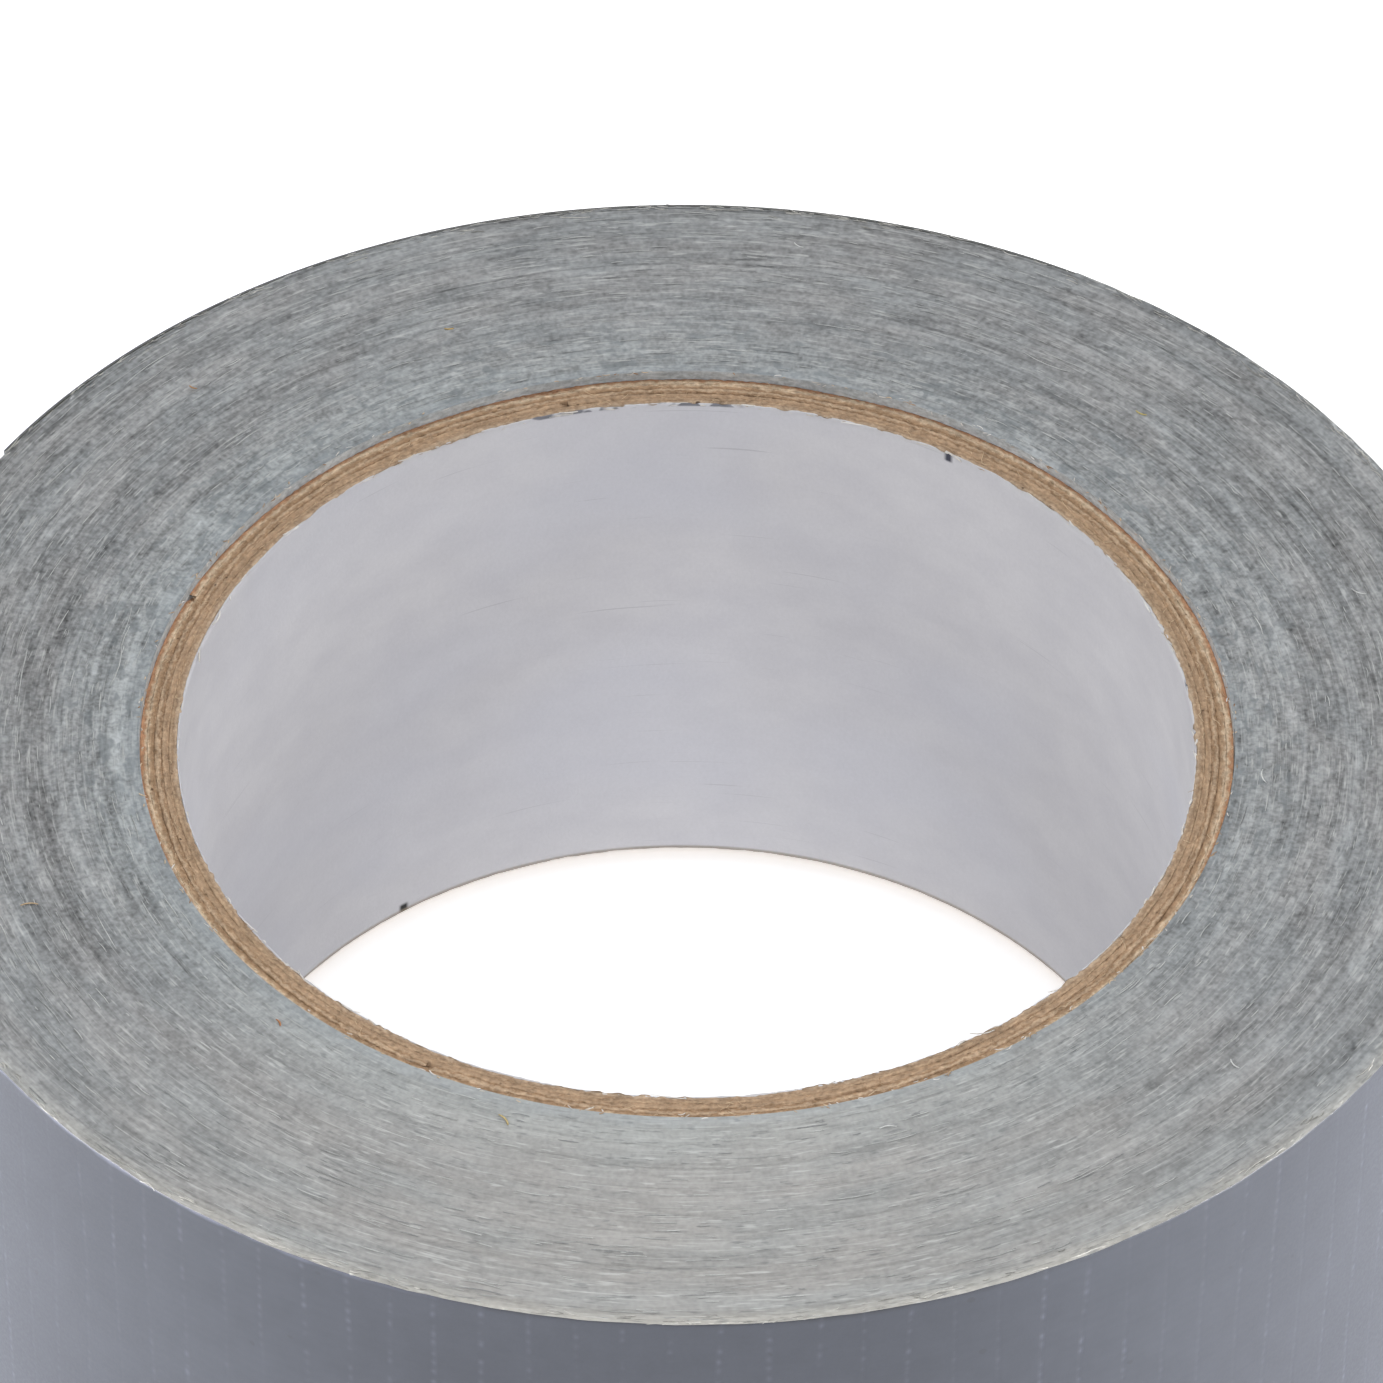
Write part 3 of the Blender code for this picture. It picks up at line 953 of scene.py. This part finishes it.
def make_liner(material):
    """The paper in the bore: a thin closed wall with soft wrinkles and a ragged upper edge."""
    rng = np.random.default_rng(81)
    steps, rows = 560, 60
    angle = np.arange(steps) / steps * TAU
    part = np.linspace(0, 1, rows)[:, None]
    ragged = np.abs(round_random(angle, 160, rng)) * 0.10 * MM
    ragged += np.abs(round_random(angle, 480, rng)) * 0.05 * MM
    frayed_low = np.abs(round_random(angle, 240, rng)) * 0.04 * MM
    top = CORE_HIGH - 0.02 * MM - ragged
    bottom = CORE_LOW + 0.02 * MM + frayed_low
    height = bottom + (top - bottom) * part
    wrinkle = np.zeros((rows, steps))
    for bumps, rise, size in ((18, 2.0, 0.05), (34, 4.0, 0.03), (70, 7.0, 0.012)):
        for _ in range(3):
            phase = rng.uniform(0, TAU)
            fold = round_random(angle + part * rng.normal() * 0.6, bumps, rng)
            wrinkle += size * MM / 3 * fold * np.sin(part * rise * math.pi + phase)
    fade = np.clip(np.minimum(part, 1 - part) * 12, 0, 1)
    inner = BORE_RADIUS + 0.02 * MM - np.clip(wrinkle, -0.06 * MM, 0.02 * MM) * fade
    inner = np.minimum(inner, BORE_RADIUS + 0.08 * MM)
    outer = np.full((rows, steps), BORE_RADIUS + LINER_THICKNESS)
    points = np.concatenate([polar_points(inner, angle, height),
                             polar_points(outer[::-1], angle, height[::-1])])
    numbers = np.arange(2 * rows * steps).reshape(2 * rows, steps)
    following = np.roll(numbers, -1, axis=0)
    right, corner = np.roll(numbers, -1, axis=1), np.roll(following, -1, axis=1)
    quads = np.stack([numbers, following, corner, right], -1).reshape(-1, 4)
    piece = add_piece("liner_sheet", points, quads, material)
    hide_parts("core_liner")
    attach(piece, "roll")


# ---------------------------------------------------------------- the tail
TAIL_FILM = 0.08 * MM
TAIL_GLUE_TOP = 0.09 * MM
TAIL_GLUE_BOTTOM = 0.19 * MM
THREAD_DEPTH = 0.185 * MM
WARP_RADIUS = 0.075 * MM
WEFT_RADIUS = 0.060 * MM
TONGUE = 0.17 * MM
TONGUE_INSET = 0.02 * MM
TONGUE_STEP = 0.004 * MM
SHARP_ANGLE = math.radians(50)
STRIP_COLUMNS = 28
STRIP_ROWS = 60


def tail_pieces():
    """(number, first angle, last angle, body, next body) for each stretch of the tail.

    Every stretch but the last runs from the middle of one length to the middle of the next, so
    it can bend over the fold between them. The first starts on the roll, at the peel line.
    """
    bodies = ["roll"] + [f"tail_{k + 1}" for k in range(TAIL_LENGTHS)]
    for k in range(TAIL_LENGTHS):
        fold = PEEL_ANGLE + k * LENGTH_ANGLE
        first = fold if k == 0 else fold - LENGTH_ANGLE / 2
        yield k, first, fold + LENGTH_ANGLE / 2, bodies[k], bodies[k + 1]
    yield TAIL_LENGTHS, FREE_END_ANGLE - LENGTH_ANGLE / 2, FREE_END_ANGLE, bodies[-1], None


def settle(piece, body, following, replaced=None):
    """Hides the replaced parts, then parents a stretch of the tail to its body, or bakes its
    transform into its mesh where another length follows.
    """
    if replaced:
        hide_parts(*replaced)
    if following is None:
        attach(piece, body)
        return
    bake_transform(piece)


def strip_solid(name, first, last, top_depth, bottom_depth, material, torn=None):
    """A thin closed length of strip between two depths under the tape's outside.

    A strip with no torn end has a thinner tongue there. It lies inside the next strip, and
    covers the small gap that opens between the two when they bend.
    """
    columns = np.linspace(first, last, STRIP_COLUMNS)
    inset = np.zeros(STRIP_COLUMNS)
    if torn is None:
        columns[-3:] = last + np.array([0.0, TONGUE_STEP, TONGUE]) / ROLL_RADIUS
        inset[-2:] = TONGUE_INSET
    low, high = TAIL_EDGE_INSET, TAPE_WIDTH - TAIL_EDGE_INSET
    height = np.linspace(low, high, STRIP_ROWS)[:, None]
    angle = np.broadcast_to(columns, (STRIP_ROWS, STRIP_COLUMNS)).copy()
    if torn is not None:
        reach = np.clip((columns - first) / (last - first), 0, 1) ** 4
        angle += reach * torn[:, None] / ROLL_RADIUS
    turns = (FREE_END_ANGLE - angle) / TAU
    outside = ROLL_RADIUS - TAPE_THICKNESS * turns
    outer = polar_points(outside - top_depth - inset, angle, height)
    inner = polar_points(outside - bottom_depth + inset, angle, height)
    strip = np.stack(np.broadcast_arrays(turns * CIRCUMFERENCE / MM, height / MM), -1)
    size = STRIP_ROWS * STRIP_COLUMNS
    numbers = np.arange(size).reshape(STRIP_ROWS, STRIP_COLUMNS)
    front = grid_quads(STRIP_ROWS, STRIP_COLUMNS)
    back = front[:, ::-1] + size
    border = np.concatenate([numbers[0, :-1], numbers[:-1, -1], numbers[-1, :0:-1],
                             numbers[:0:-1, 0]])
    around = np.roll(border, -1)
    walls = np.stack([border, border + size, around + size, around], -1)
    quads = np.concatenate([front, back, walls])
    piece = add_piece(name, np.concatenate([outer.reshape(-1, 3), inner.reshape(-1, 3)]), quads,
                      material, strip=np.concatenate([strip.reshape(-1, 2)] * 2))
    piece.data.set_sharp_from_angle(angle=SHARP_ANGLE)
    return piece


def scrim_threads(name, first, last, material, rng, torn=None):
    """The cloth's warp and weft between two angles, as flattened threads."""
    low, high = TAIL_EDGE_INSET, TAPE_WIDTH - TAIL_EDGE_INSET

    def place(angle, height):
        turns = (FREE_END_ANGLE - angle) / TAU
        crimp = 0.008 * MM * np.sin(angle * ROLL_RADIUS / (WARP_PITCH_MM * MM) * math.pi
                                    + height / (WARP_PITCH_MM * MM) * math.pi)
        radius = ROLL_RADIUS - TAPE_THICKNESS * turns - THREAD_DEPTH + crimp
        return polar_points(radius, angle, height)

    count = 12
    warps = np.arange(low + 0.4 * MM, high - 0.2 * MM, WARP_PITCH_MM * MM)
    warps = warps + rng.normal(size=len(warps)) * 0.05 * MM
    ends = np.full(len(warps), last)
    if torn is not None:
        ends = ends + (0.2 + rng.uniform(0, 0.9, len(warps))) * MM / ROLL_RADIUS
    spread = np.linspace(0, 1, count)[None, :]
    angle = first + (ends[:, None] - first) * spread
    along = place(angle, warps[:, None] + 0 * angle)
    first_weft = math.ceil(first * ROLL_RADIUS / (WEFT_PITCH_MM * MM / 2))
    last_weft = math.floor(last * ROLL_RADIUS / (WEFT_PITCH_MM * MM / 2))
    wefts = np.arange(first_weft, last_weft + 1) * (WEFT_PITCH_MM * MM / 2) / ROLL_RADIUS
    tall = np.linspace(low - 0.04 * MM, high + 0.04 * MM, 48)[None, :]
    across = place(wefts[:, None] + rng.normal(size=(len(wefts), 1)) * 0.001 + 0 * tall,
                   tall + 0 * wefts[:, None])
    meshes = []
    for paths, reach in ((along, WARP_RADIUS), (across, WEFT_RADIUS)):
        forward = unit(np.gradient(paths, axis=1))
        out = unit(paths * (1.0, 1.0, 0.0))
        meshes.append(strand_mesh(paths, reach, unit(np.cross(forward, out)), out, 0.45))
    (warp_points, warp_quads), (weft_points, weft_quads) = meshes
    points = np.concatenate([warp_points, weft_points])
    quads = np.concatenate([warp_quads, weft_quads + len(warp_points)])
    tone = rng.uniform(0.45, 0.95, len(points))
    return add_piece(name, points, quads, material, tone=tone)


def make_tail(film, scrim, adhesive):
    rng = np.random.default_rng(91)
    torn_line = np.cumsum(rng.normal(size=STRIP_ROWS)) * 0.05 * MM
    torn_line += rng.normal(size=STRIP_ROWS) * 0.05 * MM
    torn_line -= torn_line.max() + 0.02 * MM
    for number, first, last, body, following in tail_pieces():
        torn = torn_line if following is None else None
        replaced = [number] if 0 < number <= TAIL_LENGTHS else []
        piece = strip_solid(f"film_strip_{number}", first, last, 0.0, TAIL_FILM, film, torn)
        settle(piece, body, following,
               [f"tail_film_{k}" for k in replaced])
        piece = strip_solid(f"adhesive_strip_{number}", first, last, TAIL_GLUE_TOP,
                            TAIL_GLUE_BOTTOM, adhesive, torn)
        settle(piece, body, following,
               [f"tail_adhesive_{k}" for k in replaced])
        piece = scrim_threads(f"scrim_strip_{number}", first, last, scrim, rng, torn)
        settle(piece, body, following,
               [f"tail_scrim_{k}" for k in replaced])


# ---------------------------------------------------------------- everything
def main():
    make_camera()
    make_light()
    make_floor()
    tape_end = tape_end_material()
    film = film_material()
    kraft = kraft_material()
    cotton = thread_material("cotton", (204, 206, 205), (142, 144, 146))
    scrim_cotton = thread_material("scrim_cotton", (134, 136, 134), (104, 106, 106))
    rim_cotton = thread_material("rim_cotton", (206, 204, 199), (120, 121, 118))
    paper_fibre = thread_material("paper_fibre", (232, 230, 228), (196, 188, 178))
    kraft_fibre = thread_material("kraft_fibre", (222, 200, 170), (150, 116, 86))
    upper, lower = EdgeLevels(21), EdgeLevels(22)
    make_tape_end("tape_end_upper", upper, FACE_Z, -1, tape_end)
    make_tape_end("tape_end_lower", lower, FACE_Z - TAPE_WIDTH, 1, tape_end)
    make_outer_film(upper, lower, film)
    make_inner_turn(upper, lower, film_back_material())
    make_face_threads(cotton)
    make_rim_fringe(rim_cotton)
    make_lint(lint_material())
    make_plies(kraft)
    make_core_fuzz(paper_fibre, kraft_fibre)
    make_liner(liner_material())
    make_tail(film, scrim_cotton, adhesive_material())


main()
